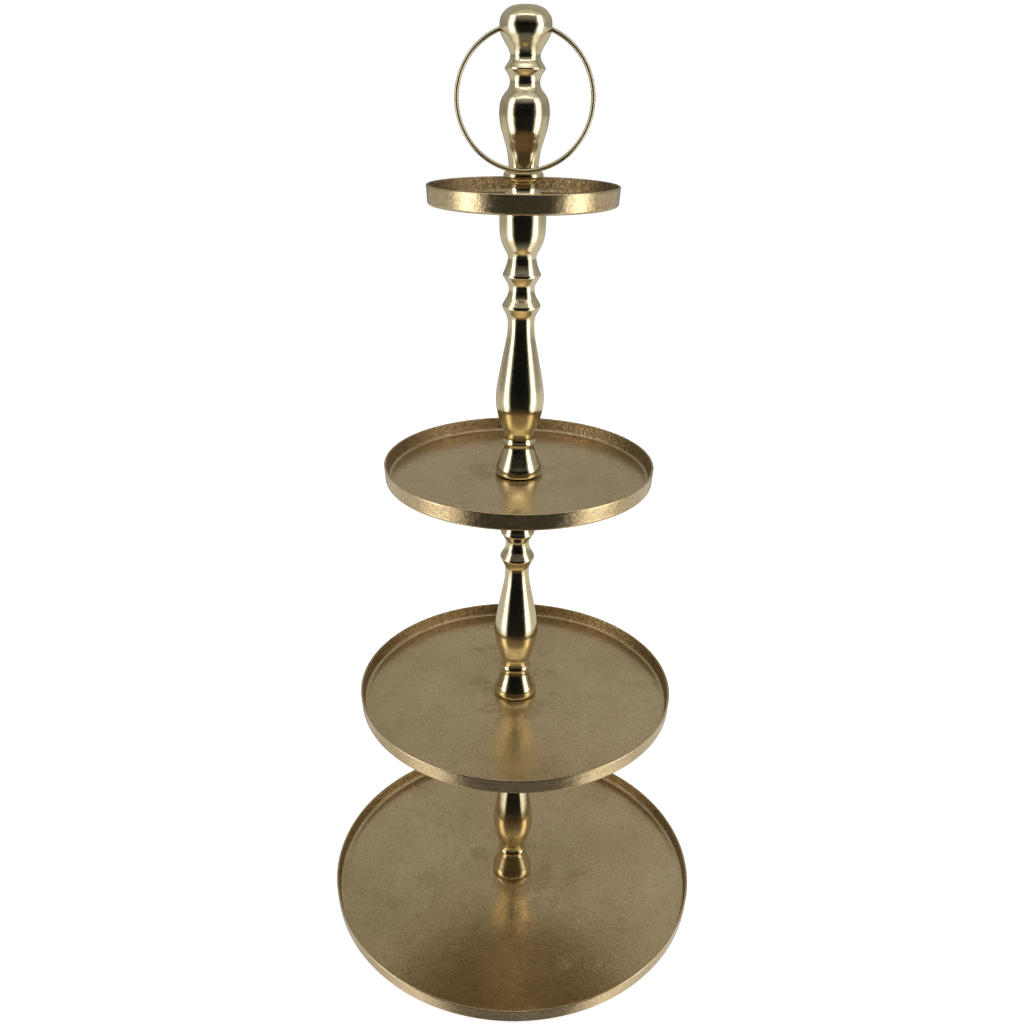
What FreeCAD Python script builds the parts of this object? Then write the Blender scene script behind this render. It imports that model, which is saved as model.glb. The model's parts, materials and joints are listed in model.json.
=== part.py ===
import FreeCAD, Part
import os
import Sketcher
from FreeCAD import Vector

# Four-tier cake stand, millimetres, +Z up, origin on the table below the centre column.
# Four round trays hang on one turned column line: column sections and the finial screw
# together through the tray centres with studs, and a carrying ring swings in the finial's ball.

os.makedirs("parts", exist_ok=True)
doc = FreeCAD.newDocument("cake_stand")

# ---------------------------------------------------------------- driving dimensions
DIMENSIONS = {
    "bottom_tray_radius": 250.0,
    "lower_tray_radius": 200.5,
    "upper_tray_radius": 158.0,
    "top_tray_radius": 102.0,
    "tray_pitch": 308.0,          # from one tray to the next
    "tray_height": 20.0,          # underside to rim top
    "tray_plate": 3.0,
    "tray_wall": 2.8,
    "tray_draft": 1.2,            # how far the wall leans out over its height
    "tray_bore": 4.3,             # clearance for the studs and the base screw
    "tray_base_round": 3.0,
    "tray_floor_round": 4.5,
    "tray_rim_round": 0.9,
    "pad_radius": 22.0,           # thin pad between tray and turned foot
    "pad_thickness": 0.8,
    "pad_bore": 4.2,
    "column_length": 304.2,
    "finial_length": 183.2,
    "tapping_radius": 4.0,
    "tapping_depth": 24.0,
    "tapping_point": 2.3,         # drill point beyond the tapped depth
    "stud_radius": 3.96,
    "stud_reach": 20.0,           # length screwed into each turned piece
    "stud_chamfer": 0.8,
    "screw_head_radius": 9.0,
    "screw_head_height": 3.8,
    "screw_head_round": 1.2,
    "screw_socket_radius": 2.6,
    "screw_socket_depth": 2.4,
    "washer_radius": 11.0,
    "washer_thickness": 1.2,
    "rubber_height": 6.0,
    "rubber_radius": 9.0,
    "rubber_foot_draft": 1.0,
    "rubber_circle": 205.0,       # distance of the rubber feet from the axis
    "ring_radius": 68.5,          # to the centre of the wire
    "ring_wire_radius": 2.25,
    "ring_hole_radius": 5.3,
    "ring_hole_height": 163.7,    # above the finial's base
    "ring_lift": 2.5,             # wire centre above the hole's centre
    "ring_tilt": 9.6,             # degrees that the hanging ring leans forward
}

sheet = doc.addObject("Spreadsheet::Sheet", "dims")
for row, (alias, number) in enumerate(DIMENSIONS.items(), start=1):
    sheet.set(f"A{row}", alias)
    sheet.set(f"B{row}", str(number))
    sheet.setAlias(f"B{row}", alias)
doc.recompute()


def value(total):
    """Number for a sum of sheet names such as 'tray_height - tray_plate'."""
    result = 0.0
    sign = 1.0
    for word in total.split():
        if word in ("+", "-"):
            sign = 1.0 if word == "+" else -1.0
        else:
            result += sign * float(sheet.get(word))
    return result


def bound(total):
    """The same sum as an expression on the sheet."""
    return " ".join(word if word in ("+", "-") else "dims." + word for word in total.split())


# ---------------------------------------------------------------- sketches and revolved bodies
def new_body(name):
    body = doc.addObject("PartDesign::Body", name)
    body.Label = name
    return body


def new_sketch(body, role):
    """Empty sketch on one of the body's own origin planes."""
    sketch = body.newObject("Sketcher::SketchObject", body.Name + "_outline")
    plane = next(item for item in body.Origin.OriginFeatures if item.Role == role)
    sketch.AttachmentSupport = [(plane, "")]
    sketch.MapMode = "FlatFace"
    return sketch


def pin_point(sketch, line, end, along, total):
    """Hold one line end at a sheet size from the sketch's axis, or on the axis itself."""
    if total == "0":
        axis = -2 if along == "X" else -1
        sketch.addConstraint(Sketcher.Constraint("PointOnObject", line, end, axis))
        return
    kind = "Distance" + along
    index = sketch.addConstraint(Sketcher.Constraint(kind, -1, 1, line, end, value(total)))
    sketch.setExpression(f"Constraints[{index}]", bound(total))


def point_of(corner):
    across, up = corner
    return Vector(0.0 if across == "0" else value(across), 0.0 if up == "0" else value(up), 0.0)


def draw_chain(sketch, corners, closed):
    """Straight lines through corners given as (radius, height) sums of sheet names."""
    count = len(corners)
    lines = []
    for start in range(count if closed else count - 1):
        segment = Part.LineSegment(point_of(corners[start]), point_of(corners[(start + 1) % count]))
        lines.append(sketch.addGeometry(segment, False))
    for first, second in zip(lines, lines[1:]):
        sketch.addConstraint(Sketcher.Constraint("Coincident", first, 2, second, 1))
    if closed:
        sketch.addConstraint(Sketcher.Constraint("Coincident", lines[-1], 2, lines[0], 1))
    for line, (across, up) in zip(lines, corners):
        pin_point(sketch, line, 1, "X", across)
        pin_point(sketch, line, 1, "Y", up)
    if not closed:
        pin_point(sketch, lines[-1], 2, "X", corners[-1][0])
        pin_point(sketch, lines[-1], 2, "Y", corners[-1][1])


def revolve(body, sketch):
    turned = body.newObject("PartDesign::Revolution", body.Name + "_turned")
    turned.Profile = sketch
    turned.ReferenceAxis = (sketch, ["V_Axis"])
    turned.Angle = 360.0
    doc.recompute()
    return turned


def round_edges(body, base, places, size):
    """Fillet the full-circle edges that lie at the given (radius, height) places."""
    names = []
    for number, edge in enumerate(base.Shape.Edges, start=1):
        if not isinstance(edge.Curve, Part.Circle):
            continue
        for radius, height in places:
            if abs(edge.Curve.Radius - radius) < 0.01 and abs(edge.Curve.Center.z - height) < 0.01:
                names.append(f"Edge{number}")
    fillet = body.newObject("PartDesign::Fillet", f"{body.Name}_{size}")
    fillet.Base = (base, names)
    fillet.Radius = value(size)
    fillet.setExpression("Radius", bound(size))
    doc.recompute()
    return fillet


def ring_piece(name, outer, inner, height):
    """Flat turned piece with a bore: a washer or a pad."""
    body = new_body(name)
    sketch = new_sketch(body, "XZ_Plane")
    draw_chain(sketch, [(inner, "0"), (outer, "0"), (outer, height), (inner, height)], True)
    revolve(body, sketch)
    return body


def lift(body, base, level):
    """Put a body at a height: a sum of sheet names plus a number of tray pitches."""
    body.setExpression("Placement.Base.z", f"{bound(base)} + {level} * dims.tray_pitch")


# ---------------------------------------------------------------- trays
def make_tray(name, radius, level):
    """Cast round tray: flat plate, low leaning wall, rounded rim, one centre hole."""
    body = new_body(name)
    sketch = new_sketch(body, "XZ_Plane")
    corners = [
        ("tray_bore", "0"),
        (f"{radius} - tray_draft", "0"),
        (radius, "tray_height"),
        (f"{radius} - tray_wall", "tray_height"),
        (f"{radius} - tray_draft - tray_wall", "tray_plate"),
        ("tray_bore", "tray_plate"),
    ]
    draw_chain(sketch, corners, True)
    turned = revolve(body, sketch)
    base_edge = [(value(f"{radius} - tray_draft"), 0.0)]
    floor_edge = [(value(f"{radius} - tray_draft - tray_wall"), value("tray_plate"))]
    rim_edges = [
        (value(radius), value("tray_height")),
        (value(f"{radius} - tray_wall"), value("tray_height")),
    ]
    rounded = round_edges(body, turned, base_edge, "tray_base_round")
    rounded = round_edges(body, rounded, floor_edge, "tray_floor_round")
    round_edges(body, rounded, rim_edges, "tray_rim_round")
    lift(body, "rubber_height", level)
    return body


# ---------------------------------------------------------------- turned outlines
# Each run is one smooth curve through (height, radius) stations, measured from the foot's
# face; neighbouring runs meet in a crisp turned edge.
COLUMN_FOOT = [
    (0, 25.2), (1.2, 26.9), (3.8, 27.7), (8.5, 26.9), (15.2, 24.2), (26.7, 19.7), (33.0, 17.6),
    (36.4, 17.2),
]
COLUMN_COLLAR = [(37.6, 18.9), (40.2, 19.5), (42.8, 18.9)]
COLUMN_SHAFT = [
    (46.2, 17.9), (51.2, 18.3), (60.2, 21.8), (72.6, 25.2), (82.2, 27.1), (92.0, 27.8),
    (101.2, 27.1), (115.2, 25.0), (134.2, 21.5), (152.2, 18.0), (165.2, 15.6), (177.2, 14.8),
    (184.2, 15.5), (188.4, 17.0), (193.0, 19.7), (197.4, 21.1), (202.0, 20.0), (206.2, 17.8),
    (210.2, 15.3), (214.8, 14.2), (219.2, 14.6), (223.2, 16.4), (227.4, 19.1), (232.0, 20.9),
    (236.4, 19.9), (240.8, 17.6), (245.2, 15.9), (249.2, 15.3), (253.2, 16.1), (258.4, 19.0),
    (264.2, 21.8), (270.2, 23.6), (275.2, 24.4), (284.2, 24.8), (304.2, 24.9),
]

FINIAL_FOOT = [(0, 25.0), (1.6, 25.2), (4.0, 23.4), (8.0, 18.9), (13.0, 17.2), (18.8, 17.0)]
FINIAL_COLLAR = [(20.4, 19.8), (24.6, 21.0), (28.6, 20.2)]
FINIAL_VASE = [
    (30.6, 16.6), (33.4, 15.6), (40.4, 16.2), (47.8, 17.2), (59.2, 20.3), (70.7, 23.9),
    (77.2, 25.1), (84.7, 25.9), (93.2, 25.1), (98.9, 23.3), (102.6, 21.0),
]
FINIAL_NECK = [
    (103.4, 20.4), (106.2, 17.9), (109.6, 16.0), (113.6, 15.1), (118.0, 15.9), (122.0, 18.0),
    (125.4, 20.4),
]
FINIAL_BALL = [
    (127.0, 20.3), (130.4, 18.2), (133.4, 16.1), (137.6, 15.0), (142.2, 16.4), (150.2, 21.1),
    (158.2, 25.3), (163.7, 26.5), (171.5, 25.0), (178.0, 20.2), (181.4, 14.0), (182.8, 7.2),
    (183.2, 0.0),
]


def draw_runs(sketch, runs):
    """Smooth curves through the stations of each run, joined end to end by short lines."""
    previous = None
    for run in runs:
        points = [Vector(radius, height, 0.0) for height, radius in run]
        if previous is not None:
            sketch.addGeometry(Part.LineSegment(previous, points[0]), False)
        curve = Part.BSplineCurve()
        curve.interpolate(Points=points)
        sketch.addGeometry(curve, False)
        previous = points[-1]


def make_column(name, level):
    """Turned baluster section, tapped at both ends."""
    body = new_body(name)
    sketch = new_sketch(body, "XZ_Plane")
    runs = [COLUMN_FOOT, COLUMN_COLLAR, COLUMN_SHAFT]
    draw_runs(sketch, runs)
    length = "column_length"
    bores = [
        ("tapping_radius", length),
        ("tapping_radius", f"{length} - tapping_depth"),
        ("0", f"{length} - tapping_depth - tapping_point"),
        ("0", "tapping_depth + tapping_point"),
        ("tapping_radius", "tapping_depth"),
        ("tapping_radius", "0"),
    ]
    draw_chain(sketch, bores, False)
    close_ends(sketch, runs, bores)
    revolve(body, sketch)
    lift(body, "rubber_height + tray_plate + pad_thickness", level)
    return body


def close_ends(sketch, runs, bores):
    """Flat end faces between the turned outline and the bores."""
    foot_height, foot_radius = runs[0][0]
    head_height, head_radius = runs[-1][-1]
    foot = Vector(foot_radius, foot_height, 0.0)
    sketch.addGeometry(Part.LineSegment(point_of(bores[-1]), foot), False)
    if head_radius > 0:
        head = Vector(head_radius, head_height, 0.0)
        sketch.addGeometry(Part.LineSegment(head, point_of(bores[0])), False)


def make_finial(name, level):
    """Turned vase and ball with a cross hole for the carrying ring, tapped at its foot."""
    body = new_body(name)
    sketch = new_sketch(body, "XZ_Plane")
    runs = [FINIAL_FOOT, FINIAL_COLLAR, FINIAL_VASE, FINIAL_NECK, FINIAL_BALL]
    draw_runs(sketch, runs)
    bores = [
        ("0", "finial_length"),
        ("0", "tapping_depth + tapping_point"),
        ("tapping_radius", "tapping_depth"),
        ("tapping_radius", "0"),
    ]
    draw_chain(sketch, bores, False)
    close_ends(sketch, runs, bores)
    turned = revolve(body, sketch)

    hole = new_sketch(body, "YZ_Plane")
    centre = Vector(0.0, value("ring_hole_height"), 0.0)
    circle = Part.Circle(centre, Vector(0.0, 0.0, 1.0), value("ring_hole_radius"))
    index = hole.addGeometry(circle, False)
    hole.addConstraint(Sketcher.Constraint("PointOnObject", index, 3, -2))
    height = Sketcher.Constraint("DistanceY", -1, 1, index, 3, value("ring_hole_height"))
    hole.setExpression(f"Constraints[{hole.addConstraint(height)}]", "dims.ring_hole_height")
    radius = Sketcher.Constraint("Radius", index, value("ring_hole_radius"))
    hole.setExpression(f"Constraints[{hole.addConstraint(radius)}]", "dims.ring_hole_radius")
    pocket = body.newObject("PartDesign::Pocket", body.Name + "_ring_hole")
    pocket.Profile = hole
    pocket.Midplane = True
    pocket.Length = 2 * value("ring_radius")
    pocket.setExpression("Length", "2 * dims.ring_radius")
    doc.recompute()
    if turned.Shape.Volume - pocket.Shape.Volume < 1000.0:
        raise RuntimeError("the ring hole doesn't go through the ball")
    lift(body, "rubber_height + tray_plate + pad_thickness", level)
    return body


# ---------------------------------------------------------------- fasteners, pads and feet
def make_stud(name, level):
    """Threaded stud through a tray's centre, shown at its thread's outer size."""
    body = new_body(name)
    sketch = new_sketch(body, "XZ_Plane")
    length = "stud_reach + tray_plate + pad_thickness + stud_reach"
    corners = [
        ("0", "0"),
        ("stud_radius - stud_chamfer", "0"),
        ("stud_radius", "stud_chamfer"),
        ("stud_radius", f"{length} - stud_chamfer"),
        ("stud_radius - stud_chamfer", length),
        ("0", length),
    ]
    draw_chain(sketch, corners, True)
    revolve(body, sketch)
    lift(body, "rubber_height - stud_reach", level)
    return body


def make_base_screw(name):
    """Low-head screw that holds the lowest column to the bottom tray from below."""
    body = new_body(name)
    sketch = new_sketch(body, "XZ_Plane")
    length = "screw_head_height + washer_thickness + tray_plate + pad_thickness + stud_reach"
    corners = [
        ("0", "screw_socket_depth"),
        ("screw_socket_radius", "screw_socket_depth"),
        ("screw_socket_radius", "0"),
        ("screw_head_radius - screw_head_round", "0"),
        ("screw_head_radius", "screw_head_round"),
        ("screw_head_radius", "screw_head_height"),
        ("stud_radius", "screw_head_height"),
        ("stud_radius", f"{length} - stud_chamfer"),
        ("stud_radius - stud_chamfer", length),
        ("0", length),
    ]
    draw_chain(sketch, corners, True)
    revolve(body, sketch)
    lift(body, "rubber_height - washer_thickness - screw_head_height", 0)
    return body


def make_washer(name):
    body = ring_piece(name, "washer_radius", "tray_bore", "washer_thickness")
    lift(body, "rubber_height - washer_thickness", 0)
    return body


def make_pad(name, level):
    body = ring_piece(name, "pad_radius", "pad_bore", "pad_thickness")
    lift(body, "rubber_height + tray_plate", level)
    return body


def make_rubber_foot(name, corner):
    """Rubber foot under the bottom tray, wider where it is stuck on."""
    foot = doc.addObject("Part::Cone", name)
    foot.Label = name
    foot.setExpression("Radius1", "dims.rubber_radius - dims.rubber_foot_draft")
    foot.setExpression("Radius2", "dims.rubber_radius")
    foot.setExpression("Height", "dims.rubber_height")
    bearing = 45 + 90 * corner
    foot.setExpression("Placement.Base.x", f"dims.rubber_circle * cos({bearing} deg)")
    foot.setExpression("Placement.Base.y", f"dims.rubber_circle * sin({bearing} deg)")
    return foot


# ---------------------------------------------------------------- carrying ring
def make_carrying_ring(name):
    """Closed wire hoop that hangs through the ball and leans on the finial's foot."""
    ring = doc.addObject("Part::Torus", name)
    ring.Label = name
    ring.setExpression("Radius1", "dims.ring_radius")
    ring.setExpression("Radius2", "dims.ring_wire_radius")
    drop = "(dims.ring_radius - dims.ring_lift)"
    hole = bound("rubber_height + tray_plate + pad_thickness + ring_hole_height")
    ring.setExpression("Placement.Base.y", f"-{drop} * sin(dims.ring_tilt * 1 deg)")
    ring.setExpression(
        "Placement.Base.z",
        f"{hole} + 3 * dims.tray_pitch - {drop} * cos(dims.ring_tilt * 1 deg)")
    ring.Placement.Rotation = FreeCAD.Rotation(Vector(1.0, 0.0, 0.0), 90.0)
    ring.setExpression("Placement.Rotation.Angle", "90 deg + dims.ring_tilt * 1 deg")
    ring.setExpression("Placement.Rotation.Axis.x", "-1")
    return ring


# ---------------------------------------------------------------- the stand
LEVELS = ("bottom", "lower", "upper", "top")

parts = [make_tray(f"tray_{level}", f"{level}_tray_radius", n) for n, level in enumerate(LEVELS)]
parts += [make_column(f"column_{place}", n) for n, place in enumerate(("lower", "middle", "upper"))]
parts.append(make_finial("finial", 3))
parts.append(make_carrying_ring("carrying_ring"))
parts += [make_stud(f"stud_{level}", n) for n, level in enumerate(LEVELS) if n > 0]
parts.append(make_base_screw("base_screw"))
parts.append(make_washer("base_washer"))
parts += [make_pad(f"pad_{level}", n) for n, level in enumerate(LEVELS)]
CORNERS = ("back_right", "back_left", "front_left", "front_right")
parts += [make_rubber_foot(f"foot_{corner}", n) for n, corner in enumerate(CORNERS)]

doc.recompute()

for item in doc.Objects:
    if "Invalid" in item.State or "Error" in item.State:
        raise RuntimeError(f"{item.Label} failed: {item.State}")
for part in parts:
    if part.Shape.isNull() or not part.Shape.isValid():
        raise RuntimeError(f"{part.Label} has no valid shape")
for part in parts:
    part.Shape.exportStep(f"parts/{part.Label}.step")
    box = part.Shape.BoundBox
    print(f"{part.Label}: {part.Shape.Volume:.0f} mm3, z {box.ZMin:.2f} to {box.ZMax:.2f}")
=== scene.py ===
import json
import math

import bpy
from mathutils import Matrix, Vector, noise


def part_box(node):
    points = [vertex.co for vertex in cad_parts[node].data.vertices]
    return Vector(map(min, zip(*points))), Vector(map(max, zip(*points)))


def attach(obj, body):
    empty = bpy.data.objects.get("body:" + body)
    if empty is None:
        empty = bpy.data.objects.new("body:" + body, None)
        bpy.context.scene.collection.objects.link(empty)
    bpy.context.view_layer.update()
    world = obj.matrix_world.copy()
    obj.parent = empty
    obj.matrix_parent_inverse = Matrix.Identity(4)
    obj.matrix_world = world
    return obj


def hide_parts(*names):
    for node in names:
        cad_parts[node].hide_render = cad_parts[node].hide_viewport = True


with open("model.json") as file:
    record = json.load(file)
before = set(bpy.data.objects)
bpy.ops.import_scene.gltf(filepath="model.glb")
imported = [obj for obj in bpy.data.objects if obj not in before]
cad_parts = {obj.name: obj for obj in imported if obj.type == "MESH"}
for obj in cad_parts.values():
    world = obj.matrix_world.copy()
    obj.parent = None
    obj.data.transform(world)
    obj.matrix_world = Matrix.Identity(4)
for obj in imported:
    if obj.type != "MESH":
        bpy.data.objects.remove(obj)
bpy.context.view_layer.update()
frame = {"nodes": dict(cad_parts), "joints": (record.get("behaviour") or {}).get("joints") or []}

# Four-tier cake stand in champagne-gold metal: cast trays, turned columns and finial, and a
# wire carrying ring. Lengths are metres in the row frame; MM turns millimetres into them.
MM = 0.001
TRAY_LEVELS = ("bottom", "lower", "upper", "top")
COLUMN_LEVELS = ("lower", "middle", "upper")
HINGE = Vector(frame["joints"][0]["pos_m"])
UP = (0.0, 0.0, 1.0)
RIGHT = (1.0, 0.0, 0.0)
FRONT = (0.0, -1.0, 0.0)
LEVEL = (1.0, 1.0, 0.0)  # multiplying by this takes a direction's height away


# ---------------------------------------------------------------- curves and outlines
def smooth_run(stations, step):
    """Monotone cubic curve through (height, radius) stations, sampled about every step."""
    heights = [height for height, _ in stations]
    radii = [radius for _, radius in stations]
    count = len(stations)
    secants = [(radii[i + 1] - radii[i]) / (heights[i + 1] - heights[i]) for i in range(count - 1)]
    slopes = [secants[0]]
    for before, after in zip(secants, secants[1:]):
        slopes.append(0.0 if before * after <= 0.0 else 2.0 * before * after / (before + after))
    slopes.append(secants[-1])
    points = []
    for i in range(count - 1):
        span = heights[i + 1] - heights[i]
        pieces = max(2, round(math.hypot(span, radii[i + 1] - radii[i]) / step))
        for k in range(pieces):
            t = k / pieces
            blend = t * t * (3.0 - 2.0 * t)
            lean_in = t * (1.0 - t) ** 2 * span * slopes[i]
            lean_out = t * t * (1.0 - t) * span * slopes[i + 1]
            radius = radii[i] + (radii[i + 1] - radii[i]) * blend + lean_in - lean_out
            points.append((radius, heights[i] + t * span))
    points.append((radii[-1], heights[-1]))
    return points


def arc(centre, radius, start, end, pieces):
    """Points on an arc, angles in degrees from the outward direction."""
    turns = [math.radians(start + (end - start) * k / pieces) for k in range(pieces + 1)]
    return [(centre[0] + radius * math.cos(a), centre[1] + radius * math.sin(a)) for a in turns]


def circle_steps(count):
    """Cosine and sine of count equal turns round a circle."""
    turns = [2.0 * math.pi * k / count for k in range(count)]
    return [(math.cos(turn), math.sin(turn)) for turn in turns]


def straight(start, end, step):
    """Points from start to end about every step, both ends included."""
    pieces = max(1, round(math.dist(start, end) / step))
    return [
        (start[0] + (end[0] - start[0]) * k / pieces, start[1] + (end[1] - start[1]) * k / pieces)
        for k in range(pieces + 1)
    ]


def soften(points, rounds):
    """Ease the crisp corners of an outline, as polishing does; the ends stay where they are."""
    for _ in range(rounds):
        middle = [
            tuple((a + 2.0 * b + c) / 4.0 for a, b, c in zip(before, here, after))
            for before, here, after in zip(points, points[1:], points[2:])
        ]
        points = [points[0]] + middle + [points[-1]]
    return points


# ---------------------------------------------------------------- meshes
def make_object(name, vertices, faces, material):
    """One smooth-shaded mesh object in the scene; vertices are in metres."""
    mesh = bpy.data.meshes.new(name)
    mesh.from_pydata(vertices, [], faces)
    mesh.polygons.foreach_set("use_smooth", [True] * len(mesh.polygons))
    mesh.materials.append(material)
    mesh.update()
    piece = bpy.data.objects.new(name, mesh)
    bpy.context.scene.collection.objects.link(piece)
    return piece


def lathe(name, outline, base_height, segments, material, shape=None):
    """Turn an outline of (radius, height) in millimetres round the Z axis.

    shape(point) may give each point a small move, in millimetres. An outline that ends where it
    began is closed by joining its last row to its first."""
    vertices = []
    rows = []
    for radius, height in outline:
        if radius < 1e-6:
            rows.append([len(vertices)])
            vertices.append(Vector((0.0, 0.0, height)))
            continue
        rows.append(list(range(len(vertices), len(vertices) + segments)))
        for along, across in circle_steps(segments):
            vertices.append(Vector((radius * along, radius * across, height)))
    if shape is not None:
        vertices = [point + shape(point) for point in vertices]
    faces = []
    for low, high in zip(rows, rows[1:]):
        for k in range(segments):
            after = (k + 1) % segments
            if len(high) == 1:
                faces.append((low[k], low[after], high[0]))
            elif len(low) == 1:
                faces.append((low[0], high[after], high[k]))
            else:
                faces.append((low[k], low[after], high[after], high[k]))
    if outline[0] == outline[-1]:
        merge = dict(zip(rows[-1], rows[0]))
        faces = [tuple(merge.get(corner, corner) for corner in face) for face in faces]
        vertices = vertices[:-segments]
    placed = [(point + Vector((0.0, 0.0, base_height))) * MM for point in vertices]
    return make_object(name, placed, faces, material)


# ---------------------------------------------------------------- materials
class Nodes:
    """Short calls for building one node material."""

    def __init__(self, name):
        self.material = bpy.data.materials.new(name)
        self.material.use_nodes = True
        self.tree = self.material.node_tree
        self.shader = self.tree.nodes["Principled BSDF"]
        self.place = self.add("ShaderNodeTexCoord").outputs["Object"]

    def add(self, kind, inputs=(), **settings):
        node = self.tree.nodes.new(kind)
        for key, setting in settings.items():
            setattr(node, key, setting)
        for key, given in dict(inputs).items():
            if isinstance(given, bpy.types.NodeSocket):
                self.tree.links.new(given, node.inputs[key])
            else:
                node.inputs[key].default_value = given
        return node

    def link(self, output, key):
        self.tree.links.new(output, self.shader.inputs[key])

    def all_over(self, key, level):
        """Set a value that is the same over the whole surface."""
        self.shader.inputs[key].default_value = level

    def scaled(self, scale):
        """Object coordinates stretched by scale along x, y and z."""
        return self.add("ShaderNodeMapping", {"Vector": self.place, "Scale": scale}).outputs[0]

    def noise(self, per_metre, detail=3.0, rough=0.55, stretch=(1.0, 1.0, 1.0), twist=0.0):
        inputs = {"Vector": self.scaled(stretch), "Scale": per_metre, "Detail": detail,
                  "Roughness": rough, "Distortion": twist}
        return self.add("ShaderNodeTexNoise", inputs).outputs["Fac"]

    def spots(self, per_metre, size):
        """Scattered round pits: 1 at each pit's middle, 0 outside its size."""
        cells = self.add("ShaderNodeTexVoronoi", {"Vector": self.place, "Scale": per_metre})
        return self.remap(cells.outputs["Distance"], 0.0, size, 1.0, 0.0)

    def remap(self, source, low, high, to_low, to_high):
        """Turn low..high of the source into to_low..to_high, held at both ends."""
        inputs = {"Value": source, "From Min": low, "From Max": high,
                  "To Min": to_low, "To Max": to_high}
        return self.add("ShaderNodeMapRange", inputs).outputs["Result"]

    def math(self, operation, first, second):
        return self.add("ShaderNodeMath", {0: first, 1: second}, operation=operation).outputs[0]

    def vector(self, operation, first, second=(0.0, 0.0, 0.0)):
        node = self.add("ShaderNodeVectorMath", {0: first, 1: second}, operation=operation)
        gives_number = operation in ("DOT_PRODUCT", "LENGTH")
        return node.outputs["Value" if gives_number else "Vector"]

    def ramp(self, source, stops):
        """Colour ramp through (position, (r, g, b)) stops."""
        node = self.add("ShaderNodeValToRGB", {"Fac": source})
        elements = node.color_ramp.elements
        while len(elements) < len(stops):
            elements.new(0.5)
        for element, (position, colour) in zip(elements, stops):
            element.position = position
            element.color = (*colour, 1.0)
        return node.outputs["Color"]

    def mix(self, factor, first, second):
        """Blend two colours; in a colour Mix node they are inputs 6 and 7 and the result output 2."""
        node = self.add("ShaderNodeMix", {0: factor, 6: first, 7: second}, data_type="RGBA")
        return node.outputs[2]

    def bump(self, source, depth, strength, under=None):
        """Bump of a depth in millimetres, laid over the one under it."""
        inputs = {"Height": source, "Distance": depth * MM, "Strength": strength}
        if under is not None:
            inputs["Normal"] = under
        return self.add("ShaderNodeBump", inputs).outputs["Normal"]


# each colour ramp is (place on the noise, colour) stops, from its dark end to its pale one
TURNED_SHADES = [
    (0.30, (0.62, 0.525, 0.32)),
    (0.55, (0.71, 0.615, 0.395)),
    (0.75, (0.78, 0.69, 0.47)),
]
TURNED_PIT_SHADES = [(0.3, (0.26, 0.175, 0.085)), (0.7, (0.34, 0.24, 0.13))]
CAST_SHADES = [
    (0.30, (0.55, 0.42, 0.225)),
    (0.52, (0.65, 0.505, 0.285)),
    (0.72, (0.72, 0.57, 0.34)),
]
# dark tones for the real stains, specks and marks, and also for painted shade on the inner walls and on
# faces that look down
CAST_STAIN_AND_PAINTED_SHADE_TONES = [(0.3, (0.20, 0.13, 0.06)), (0.7, (0.28, 0.19, 0.10))]
STEEL_SHADES = [(0.35, (0.40, 0.40, 0.41)), (0.7, (0.62, 0.62, 0.64))]
RUBBER_SHADES = [(0.35, (0.02, 0.02, 0.02)), (0.7, (0.05, 0.05, 0.05))]
FIBRE_SHADES = [(0.35, (0.03, 0.025, 0.02)), (0.7, (0.06, 0.05, 0.04))]


def turned_metal(name, brightness, smooth, dull):
    """Turned metal: faint lathe lines, fine pits and slow changes of tone.

    brightness scales its shades; smooth and dull are its least and most roughness."""
    n = Nodes(name)
    cloud = n.noise(14.0, detail=4.0)
    shades = [(stop, tuple(brightness * part for part in shade)) for stop, shade in TURNED_SHADES]
    pits = n.spots(420.0, 0.16)
    pit_tone = n.ramp(cloud, TURNED_PIT_SHADES)
    n.link(n.mix(n.math("MULTIPLY", pits, 0.5), n.ramp(cloud, shades), pit_tone), "Base Color")
    n.all_over("Metallic", 1.0)
    grain = n.noise(260.0, detail=4.0, rough=0.65)
    n.link(n.remap(grain, 0.3, 0.7, smooth, dull), "Roughness")
    lathe_lines = n.noise(1.0, detail=2.0, stretch=(30.0, 30.0, 2600.0))
    surface = n.bump(lathe_lines, 0.02, 0.35)
    surface = n.bump(n.noise(620.0, detail=4.0, rough=0.75), 0.10, 0.55, surface)
    surface = n.bump(n.math("MULTIPLY", pits, -1.0), 0.06, 0.6, surface)
    n.link(surface, "Normal")
    return n.material


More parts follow.
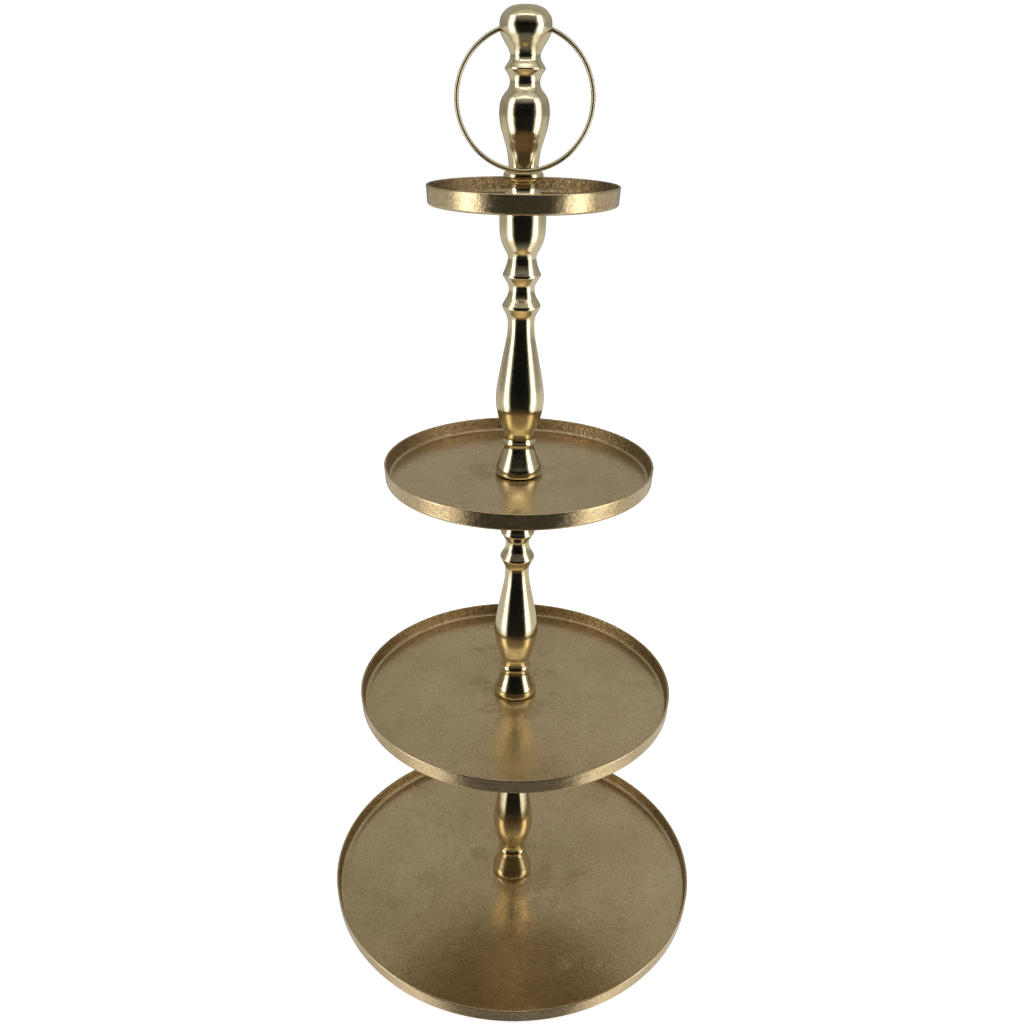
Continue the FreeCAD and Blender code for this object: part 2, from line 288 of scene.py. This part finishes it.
def cast_metal(name):
    """Satin cast metal: cloudy tone, sandy grain, wrinkles, pits and curly casting marks.

    The inner walls carry a mottled painted shade and are smoother and more mottled in relief, faces that
    look down carry painted shade, and the outer walls are brushed."""
    n = Nodes(name)
    facing = n.add("ShaderNodeNewGeometry").outputs["Normal"]
    outward = n.vector("NORMALIZE", n.vector("MULTIPLY", n.place, LEVEL))
    turned_out = n.vector("DOT_PRODUCT", facing, outward)
    inner_wall = n.remap(turned_out, -0.9, -0.4, 1.0, 0.0)
    outer_wall = n.remap(turned_out, 0.4, 0.9, 0.0, 1.0)
    # painted shade: faces that look down are darkened, as if in shadow
    underside = n.remap(n.vector("DOT_PRODUCT", facing, UP), -0.9, -0.5, 0.55, 0.0)
    cloud = n.noise(7.0, detail=5.0, rough=0.6, twist=0.4)
    marks = casting_marks(n)
    speck = n.remap(n.noise(360.0, detail=4.0, rough=0.75), 0.42, 0.62, 0.0, 0.42)
    stain = n.remap(n.noise(38.0, detail=5.0, rough=0.7), 0.52, 0.75, 0.0, 0.22)
    stain = n.math("MAXIMUM", n.math("ADD", stain, speck), n.math("MULTIPLY", marks, 0.5))
    mottle = n.noise(230.0, detail=5.0, rough=0.75, twist=0.8)
    # painted shade: the inner walls are darkened all over, mottled by the noise
    inner_wall_painted_shade = n.math("MULTIPLY", n.remap(mottle, 0.42, 0.60, 0.55, 1.0), inner_wall)
    # real stains, specks and casting marks, together with painted shade on the inner walls and on faces
    # that look down
    stain_and_painted_shade = n.math("MAXIMUM", n.math("MAXIMUM", stain, inner_wall_painted_shade), underside)
    shades = n.ramp(cloud, CAST_SHADES)
    n.link(n.mix(stain_and_painted_shade, shades, n.ramp(cloud, CAST_STAIN_AND_PAINTED_SHADE_TONES)), "Base Color")
    n.all_over("Metallic", 0.95)
    grain = n.noise(480.0, detail=3.0, rough=0.6)
    wrinkle = n.noise(120.0, detail=6.0, rough=0.72, twist=1.2)
    rough = n.remap(n.math("ADD", grain, wrinkle), 0.7, 1.3, 0.15, 0.25)
    n.link(n.math("MULTIPLY", rough, n.remap(inner_wall, 0.0, 1.0, 1.0, 0.6)), "Roughness")
    surface = n.bump(grain, 0.19, 0.7)
    surface = n.bump(wrinkle, 0.36, 0.55, surface)
    surface = n.bump(n.math("MULTIPLY", mottle, inner_wall), 1.3, 0.9, surface)
    brushed = n.noise(750.0, detail=3.0, rough=0.7, stretch=(1.0, 1.0, 0.07))
    surface = n.bump(n.math("MULTIPLY", brushed, outer_wall), 0.12, 0.7, surface)
    surface = n.bump(n.math("MULTIPLY", n.spots(300.0, 0.2), -1.0), 0.1, 0.6, surface)
    surface = n.bump(n.math("MULTIPLY", marks, -1.0), 0.25, 0.5, surface)
    n.link(surface, "Normal")
    return n.material


def casting_marks(n):
    """Short curly furrows left by the sand, in scattered patches and close round the foot."""
    curls = n.noise(210.0, detail=2.0, twist=1.6)
    off_middle = n.math("ABSOLUTE", n.math("SUBTRACT", curls, 0.5), 0.0)
    furrow = n.remap(off_middle, 0.010, 0.045, 1.0, 0.0)
    from_axis = n.vector("LENGTH", n.vector("MULTIPLY", n.place, LEVEL))
    near_foot = n.remap(from_axis, 45.0 * MM, 80.0 * MM, 0.15, -0.04)
    patches = n.math("ADD", n.noise(16.0, detail=3.0), near_foot)
    return n.math("MULTIPLY", furrow, n.remap(patches, 0.62, 0.68, 0.0, 1.0))


def plated_steel(name):
    """Zinc-plated steel: cloudy grey with an even fine grain."""
    n = Nodes(name)
    n.link(n.ramp(n.noise(60.0, detail=4.0), STEEL_SHADES), "Base Color")
    n.all_over("Metallic", 1.0)
    n.link(n.remap(n.noise(500.0), 0.3, 0.7, 0.28, 0.45), "Roughness")
    n.link(n.bump(n.noise(900.0), 0.04, 0.5), "Normal")
    return n.material


def soft_black(name, shades):
    """Rubber and fibre: dull and finely grained, with cloudy shades."""
    n = Nodes(name)
    n.link(n.ramp(n.noise(200.0, detail=4.0), shades), "Base Color")
    n.link(n.remap(n.noise(90.0), 0.3, 0.7, 0.65, 0.9), "Roughness")
    n.link(n.bump(n.noise(1500.0), 0.08, 0.6), "Normal")
    return n.material


# ---------------------------------------------------------------- turned pieces
# (height, radius) stations in millimetres above each piece's own foot face; each run is smooth,
# and the outline has a crisp step between two runs
COLUMN_FOOT = [
    (0, 25.2), (1.2, 26.9), (3.8, 27.7), (8.5, 26.9), (15.2, 24.2), (26.7, 19.7), (33.0, 17.6),
    (37.2, 17.1),
]
COLUMN_RUNS = [
    COLUMN_FOOT,
    [(38.0, 19.2), (39.4, 19.6), (41.2, 19.3)],
    [
        (42.6, 18.2), (46.2, 17.8), (51.2, 18.3), (60.2, 21.8), (72.6, 25.2), (82.2, 27.1),
        (92.0, 27.7), (101.2, 27.1), (115.2, 25.0), (134.2, 21.5), (152.2, 18.0),
        (165.2, 15.6), (177.2, 14.8), (184.2, 15.5), (188.4, 17.0), (192.6, 19.2), (195.2, 20.5),
    ],
    [(195.8, 20.9), (197.2, 21.2), (198.8, 21.1)],
    [
        (199.8, 20.4), (203.4, 18.4), (208.0, 15.8), (214.8, 14.2), (219.2, 14.6),
        (223.6, 16.6), (228.4, 19.6),
    ],
    [(229.4, 20.5), (231.0, 20.9), (232.8, 20.7)],
    [
        (234.0, 19.8), (239.2, 17.7), (245.2, 15.9), (249.2, 15.3), (253.2, 16.1),
        (258.4, 19.0), (264.2, 21.8), (270.2, 23.6), (275.2, 24.4), (284.2, 24.8), (304.2, 24.9),
    ],
]
FINIAL_RUNS = [
    [(0, 25.0), (1.6, 25.2), (4.0, 23.4), (8.0, 18.9), (13.0, 17.2), (18.8, 17.0)],
    [(20.0, 19.6), (22.0, 20.7), (24.6, 21.0), (27.4, 20.6), (29.0, 19.4)],
    [
        (30.2, 16.8), (33.4, 15.6), (40.4, 16.2), (47.8, 17.2), (59.2, 20.3), (70.7, 23.9),
        (77.2, 25.1), (84.7, 25.9), (93.2, 25.1), (98.9, 23.3), (102.6, 21.0),
    ],
    [
        (103.4, 20.4), (106.2, 17.9), (109.6, 16.0), (113.6, 15.1), (118.0, 15.9),
        (122.0, 18.0), (125.0, 20.3),
    ],
    [(125.6, 20.7), (126.6, 20.7)],
    [
        (127.2, 20.0), (130.4, 18.2), (133.4, 16.1), (137.6, 15.0), (142.2, 16.4),
        (150.2, 21.1), (158.2, 25.3), (163.7, 26.5), (171.5, 25.0), (178.0, 20.2),
        (181.4, 14.0), (182.7, 7.2), (183.1, 0.0),
    ],
]
OUTLINE_STEP = 0.6
END_FACE_STEP = 4.0
TURNED_SEGMENTS = 176
TURNED_BORE = 4.0
SOFTENING_ROUNDS = 2
RING_HOLE_RADIUS = 5.3
RING_HOLE_REACH = 60.0


def turned_outline(runs):
    """One outline from the foot's bore to the head, crisp edges eased a little."""
    points = []
    for run in runs:
        points += smooth_run(run, OUTLINE_STEP)
    points = soften(points, SOFTENING_ROUNDS)
    foot_face = straight((TURNED_BORE, points[0][1]), points[0], END_FACE_STEP)[:-1]
    if points[-1][0] == 0.0:
        return foot_face + points
    return foot_face + points + straight(points[-1], (TURNED_BORE, points[-1][1]), END_FACE_STEP)[1:]


def place_turned(name, runs, material):
    """A column or the finial, standing where its CAD node stands."""
    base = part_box(name)[0].z / MM
    piece = lathe(name + "_turned", turned_outline(runs), base, TURNED_SEGMENTS, material)
    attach(piece, "stand")
    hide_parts(name)
    return piece


def drill_ring_hole(piece):
    """Cut the ring's hole along X through a piece."""
    bpy.ops.mesh.primitive_cylinder_add(
        vertices=64, radius=RING_HOLE_RADIUS * MM, depth=2.0 * RING_HOLE_REACH * MM,
        location=HINGE, rotation=(0.0, math.pi / 2.0, 0.0),
    )
    cutter = bpy.context.object
    cut = piece.modifiers.new("ring_hole", "BOOLEAN")
    cut.operation = "DIFFERENCE"
    cut.solver = "EXACT"
    cut.object = cutter
    bpy.context.view_layer.update()
    depsgraph = bpy.context.evaluated_depsgraph_get()
    made = bpy.data.meshes.new_from_object(piece.evaluated_get(depsgraph))
    piece.modifiers.clear()
    piece.data = made
    bpy.data.objects.remove(cutter)


# ---------------------------------------------------------------- trays
TRAY_PLATE = 3.0
TRAY_WALL = 2.8
TRAY_DRAFT = 1.2
TRAY_BASE_ROUND = 3.0
TRAY_FLOOR_ROUND = 4.5
TRAY_RIM_ROUND = 0.9
TRAY_BORE = 4.3
TRAY_SEGMENTS = 420
FLAT_STEP = 4.0
FLOOR_STEP = 3.0
WALL_STEP = 1.4
# the rounds at the wall's foot are set out a little, to meet the leaning wall
BASE_ROUND_OUT = 0.15
FLOOR_ROUND_OUT = 0.2


def tray_outline(radius, height):
    """Section of a tray from its bore, under the plate, over the rim and back to the bore."""
    base = radius - TRAY_DRAFT
    lean = math.degrees(math.atan2(TRAY_DRAFT, height))
    inner_top = radius - TRAY_WALL
    inner_foot = base - TRAY_WALL
    points = straight((TRAY_BORE, 0.0), (base - TRAY_BASE_ROUND, 0.0), FLAT_STEP)
    base_corner = (base - TRAY_BASE_ROUND + BASE_ROUND_OUT, TRAY_BASE_ROUND)
    points += arc(base_corner, TRAY_BASE_ROUND, -90.0, -lean, 6)[1:]
    outer_rim = (radius - TRAY_RIM_ROUND, height - TRAY_RIM_ROUND)
    points += straight(points[-1], (outer_rim[0] + TRAY_RIM_ROUND, outer_rim[1]), WALL_STEP)[1:]
    points += arc(outer_rim, TRAY_RIM_ROUND, 0.0, 90.0, 5)[1:]
    inner_rim = (inner_top + TRAY_RIM_ROUND, height - TRAY_RIM_ROUND)
    points += arc(inner_rim, TRAY_RIM_ROUND, 90.0, 180.0, 5)
    floor_corner = (inner_foot - TRAY_FLOOR_ROUND + FLOOR_ROUND_OUT, TRAY_PLATE + TRAY_FLOOR_ROUND)
    inner_wall_foot = (floor_corner[0] + TRAY_FLOOR_ROUND, floor_corner[1])
    points += straight(points[-1], inner_wall_foot, WALL_STEP)[1:]
    points += arc(floor_corner, TRAY_FLOOR_ROUND, 0.0, -90.0, 8)[1:]
    points += straight(points[-1], (TRAY_BORE, TRAY_PLATE), FLOOR_STEP)[1:]
    return points + [points[0]]


# how far the casting strays from true, in millimetres, and how fine its waves are
FLAT_SEAT_REACH = 34.0
FLAT_SEAT_FADE = 30.0
SLOW_WAVE, SLOW_FINENESS = 0.22, 0.016
RIPPLE, RIPPLE_FINENESS = 0.05, 0.11
WALL_RIPPLE, WALL_FINENESS = 0.10, 0.14
WALL_SLOW_WAVE = 0.12
WALL_INSET = 0.12
WALL_BAND = 12.0


def cast_unevenness(radius, seed):
    """Small moves that a sand-cast and hand-finished tray shows: slow waves and a fine ripple.

    The seat round the middle stays flat, the wall is set in a little, and the underside only
    ever moves up."""
    offset = Vector((seed * 71.0, seed * 13.0, 0.0))

    def move(point):
        from_axis = math.hypot(point.x, point.y)
        off_seat = min(1.0, max(0.0, (from_axis - FLAT_SEAT_REACH) / FLAT_SEAT_FADE))
        slow = noise.noise(point * SLOW_FINENESS + offset)
        ripple = noise.noise(point * RIPPLE_FINENESS + offset)
        up = (SLOW_WAVE * slow + RIPPLE * ripple) * off_seat
        if point.z > TRAY_PLATE + 1.0 and from_axis > radius - WALL_BAND:
            wall_ripple = noise.noise(point * WALL_FINENESS - offset)
            out = -WALL_INSET - WALL_RIPPLE * wall_ripple - WALL_SLOW_WAVE * slow
            outward = Vector((point.x, point.y, 0.0)).normalized()
            return outward * out + Vector((0.0, 0.0, -WALL_INSET + 0.5 * up))
        on_underside = point.z <= 0.5
        return Vector((0.0, 0.0, 0.5 * abs(up) if on_underside else up))

    return move


def place_tray(name, seed, material):
    """A tray the size of its CAD node; seed makes its unevenness its own."""
    low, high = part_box(name)
    radius = max(high.x, high.y) / MM
    height = (high.z - low.z) / MM
    outline = tray_outline(radius, height)
    shape = cast_unevenness(radius, seed)
    piece = lathe(name + "_cast", outline, low.z / MM, TRAY_SEGMENTS, material, shape)
    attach(piece, "stand")
    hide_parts(name)


# ---------------------------------------------------------------- carrying ring
WIRE_RADIUS = 2.25
RING_LIFT = 2.5  # how far above the hinge the wire's middle is, at the ring's top
RING_STEPS = 240
WIRE_STEPS = 28


def place_ring(name, material):
    """Wire hoop on the same hinge and at the same tilt as the CAD ring."""
    low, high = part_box(name)
    wire = WIRE_RADIUS * MM
    radius = high.x - wire
    lift = RING_LIFT * MM
    tilt = math.asin(min(1.0, (-low.y - wire) / (2.0 * radius - lift)))
    down = Vector((0.0, -math.sin(tilt), -math.cos(tilt)))
    across = Vector(RIGHT)
    normal = across.cross(down)
    centre = HINGE + down * (radius - lift)
    vertices = []
    for up_share, across_share in circle_steps(RING_STEPS):
        out = across * across_share - down * up_share
        for out_share, normal_share in circle_steps(WIRE_STEPS):
            offset = out * (radius + wire * out_share) + normal * wire * normal_share
            vertices.append(centre + offset)
    faces = []
    for i in range(RING_STEPS):
        here = i * WIRE_STEPS
        after = (i + 1) % RING_STEPS * WIRE_STEPS
        for k in range(WIRE_STEPS):
            next_k = (k + 1) % WIRE_STEPS
            faces.append((here + k, here + next_k, after + next_k, after + k))
    piece = make_object(name + "_wire", vertices, faces, material)
    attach(piece, "ring")
    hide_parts(name)


# ---------------------------------------------------------------- studio
# strength of the surroundings that the metal mirrors
TABLE_GLOW = 0.68
HORIZON_GLOW = 0.34
OVERHEAD_GLOW = 0.43
DARK_SHARE = 0.010
SKY_COLOUR = (1.0, 0.985, 0.96, 1.0)
# the dark sector in front of the stand, in degrees either side of straight ahead
DARK_SECTOR = 46.0
DARK_SECTOR_EDGE = 56.0

STAGE_REACH = 5.0
STAGE_SEGMENTS = 96
WALL_FOOT = -0.01
WALL_HEIGHT = 14.0
FLOOR_GREY = (0.55, 0.55, 0.55)
BLACK = (0.0, 0.0, 0.0)
WHITE = (1.0, 1.0, 1.0)

LAMP_COLOUR = (0.93, 0.97, 1.0)
CAMERA_PLACE = (-0.0072, -1.0454, 1.0167)  # its height is above the bottom tray's rim
CAMERA_DOWN = 24.15
CAMERA_ROLL = 0.78
CAMERA_LENS = 33.31


def stage_material(name, paint, glow_colour, glow):
    material = bpy.data.materials.new(name)
    material.use_nodes = True
    shader = material.node_tree.nodes["Principled BSDF"]
    shader.inputs["Base Color"].default_value = (*paint, 1.0)
    shader.inputs["Roughness"].default_value = 0.9
    shader.inputs["Emission Color"].default_value = (*glow_colour, 1.0)
    shader.inputs["Emission Strength"].default_value = glow
    return material


def make_floor_and_wall():
    """Round pale floor and a white wall all round it; mirrors see neither."""
    rim = [(STAGE_REACH * along, STAGE_REACH * across) for along, across in circle_steps(STAGE_SEGMENTS)]
    disc = [Vector((x, y, 0.0)) for x, y in rim]
    floor_paint = stage_material("floor_paint", FLOOR_GREY, FLOOR_GREY, 1.5)
    floor = make_object("floor", disc, [tuple(range(STAGE_SEGMENTS))], floor_paint)
    ends = [Vector((x, y, height)) for height in (WALL_FOOT, WALL_HEIGHT) for x, y in rim]
    sides = []
    for k in range(STAGE_SEGMENTS):
        after = (k + 1) % STAGE_SEGMENTS
        sides.append((k, after, STAGE_SEGMENTS + after, STAGE_SEGMENTS + k))
    wall = make_object("wall", ends, sides, stage_material("wall_paint", BLACK, WHITE, 1.0))
    floor.visible_glossy = False
    wall.visible_glossy = False
    wall.visible_diffuse = False
    wall.visible_shadow = False
    wall.visible_transmission = False


def make_world():
    """Surroundings that the metal mirrors.

    They glow most below the horizon, as a pale table would, are brighter overhead than round
    it and brightest towards the front's two sides. The sector in front of the stand is dark,
    but for some of the glow overhead and a little underfoot. A low strip straight behind is
    dimmer, and the whole drifts slightly brighter to the right."""
    world = bpy.data.worlds.new("studio")
    bpy.context.scene.world = world
    world.use_nodes = True
    nodes = world.node_tree.nodes
    links = world.node_tree.links

    def span(source, low, high, to_low, to_high):
        """Ease from to_low to to_high as the source goes from low to high."""
        node = nodes.new("ShaderNodeMapRange")
        node.interpolation_type = "SMOOTHSTEP"
        levels = {"From Min": low, "From Max": high, "To Min": to_low, "To Max": to_high}
        for key, level in levels.items():
            node.inputs[key].default_value = level
        links.new(source, node.inputs["Value"])
        return node.outputs["Result"]

    def combine(operation, first, second):
        node = nodes.new("ShaderNodeMath")
        node.operation = operation
        links.new(first, node.inputs[0])
        links.new(second, node.inputs[1])
        return node.outputs[0]

    def along(axis, source):
        """How far a direction points along an axis, from -1 to 1."""
        node = nodes.new("ShaderNodeVectorMath")
        node.operation = "DOT_PRODUCT"
        links.new(source, node.inputs[0])
        node.inputs[1].default_value = axis
        return node.outputs["Value"]

    def levelled(source):
        """The compass direction of a direction, with no height."""
        flat = nodes.new("ShaderNodeVectorMath")
        flat.operation = "MULTIPLY"
        links.new(source, flat.inputs[0])
        flat.inputs[1].default_value = LEVEL
        unit = nodes.new("ShaderNodeVectorMath")
        unit.operation = "NORMALIZE"
        links.new(flat.outputs["Vector"], unit.inputs[0])
        return unit.outputs["Vector"]

    direction = nodes.new("ShaderNodeTexCoord").outputs["Generated"]
    forward = along(FRONT, levelled(direction))
    height = along(UP, direction)
    rightward = along(RIGHT, direction)

    sky = span(height, 0.12, 0.38, HORIZON_GLOW, OVERHEAD_GLOW)
    table = span(height, -0.24, -0.03, TABLE_GLOW - HORIZON_GLOW, 0.0)
    glow = combine("ADD", sky, table)
    glow = combine("MULTIPLY", glow, span(rightward, -0.2, 0.2, 0.97, 1.07))
    glow = combine("MULTIPLY", glow, span(forward, -0.20, 0.45, 1.0, 1.9))

    edge = math.cos(math.radians(DARK_SECTOR_EDGE))
    heart = math.cos(math.radians(DARK_SECTOR))
    share = span(forward, edge, heart, 1.0, DARK_SHARE)
    share = combine("MAXIMUM", share, span(height, 0.30, 0.98, 0.0, 0.75))
    share = combine("MAXIMUM", share, span(height, -0.90, -0.54, 0.15, 0.0))

    strip_behind = span(forward, -1.0, -0.80, 0.45, 1.0)
    strip_behind = combine("MAXIMUM", strip_behind, span(height, 0.12, 0.28, 0.0, 1.0))

    strength = combine("MULTIPLY", combine("MULTIPLY", glow, share), strip_behind)
    background = nodes["Background"]
    links.new(strength, background.inputs["Strength"])
    background.inputs["Color"].default_value = SKY_COLOUR


def add_light(name, place, target, size, watts):
    """A rectangular lamp of (width, height) size that faces its target."""
    light = bpy.data.lights.new(name, "AREA")
    light.shape = "RECTANGLE"
    light.size, light.size_y = size
    light.energy = watts
    light.color = LAMP_COLOUR
    lamp = bpy.data.objects.new(name, light)
    bpy.context.scene.collection.objects.link(lamp)
    lamp.location = place
    lamp.rotation_euler = (Vector(target) - Vector(place)).to_track_quat("-Z", "Y").to_euler()
    return lamp


def make_lights():
    """Tall soft boxes left and right of the front, one over it, and a wide lamp on the floor."""
    for side, name in ((-1.0, "box_left"), (1.0, "box_right")):
        add_light(name, (side * 1.80, -0.74, 1.10), (0.0, 0.0, 0.8), size=(0.74, 3.0), watts=16.0)
    add_light("box_top", (0.0, -0.98, 2.62), (0.0, 0.0, 0.95), size=(2.3, 0.50), watts=6.0)
    wide = add_light("floor_light", (0.0, 0.3, 3.2), (0.0, 0.0, 0.0), size=(2.6, 2.6), watts=40.0)
    wide.visible_glossy = False


def make_camera():
    """Looks down at the stand from slightly left of its front."""
    camera = bpy.data.objects.new("camera", bpy.data.cameras.new("camera"))
    bpy.context.scene.collection.objects.link(camera)
    camera.data.sensor_width = 36.0
    camera.data.lens = CAMERA_LENS
    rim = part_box("tray_bottom")[1].z
    camera.location = Vector(CAMERA_PLACE) + Vector((0.0, 0.0, rim))
    tip = Matrix.Rotation(math.radians(90.0 - CAMERA_DOWN), 4, "X")
    camera.rotation_euler = (tip @ Matrix.Rotation(math.radians(CAMERA_ROLL), 4, "Z")).to_euler()
    bpy.context.scene.camera = camera


# ---------------------------------------------------------------- the stand
def place_stand():
    """Every rebuilt piece: columns, finial, trays and ring."""
    turned = turned_metal("turned_gold", brightness=1.0, smooth=0.09, dull=0.19)
    wire = turned_metal("ring_gold", brightness=0.78, smooth=0.26, dull=0.38)
    cast = cast_metal("cast_gold")
    for level in COLUMN_LEVELS:
        place_turned(f"column_{level}", COLUMN_RUNS, turned)
    drill_ring_hole(place_turned("finial", FINIAL_RUNS, turned))
    for number, level in enumerate(TRAY_LEVELS):
        place_tray(f"tray_{level}", number + 1, cast)
    place_ring("carrying_ring", wire)


def finish_kept_nodes():
    """A material for every CAD piece; only those that no mesh replaces are seen."""
    steel = plated_steel("plated_steel")
    by_prefix = {
        "foot": soft_black("foot_rubber", RUBBER_SHADES),
        "pad": soft_black("pad_fibre", FIBRE_SHADES),
    }
    for node, piece in frame["nodes"].items():
        look = by_prefix.get(node.split("_")[0], steel)
        slots = piece.data.materials
        if not slots:
            slots.append(look)
        for index in range(len(slots)):
            slots[index] = look


make_camera()
place_stand()
finish_kept_nodes()
make_floor_and_wall()
make_world()
make_lights()
bpy.context.scene.view_settings.view_transform = "Standard"
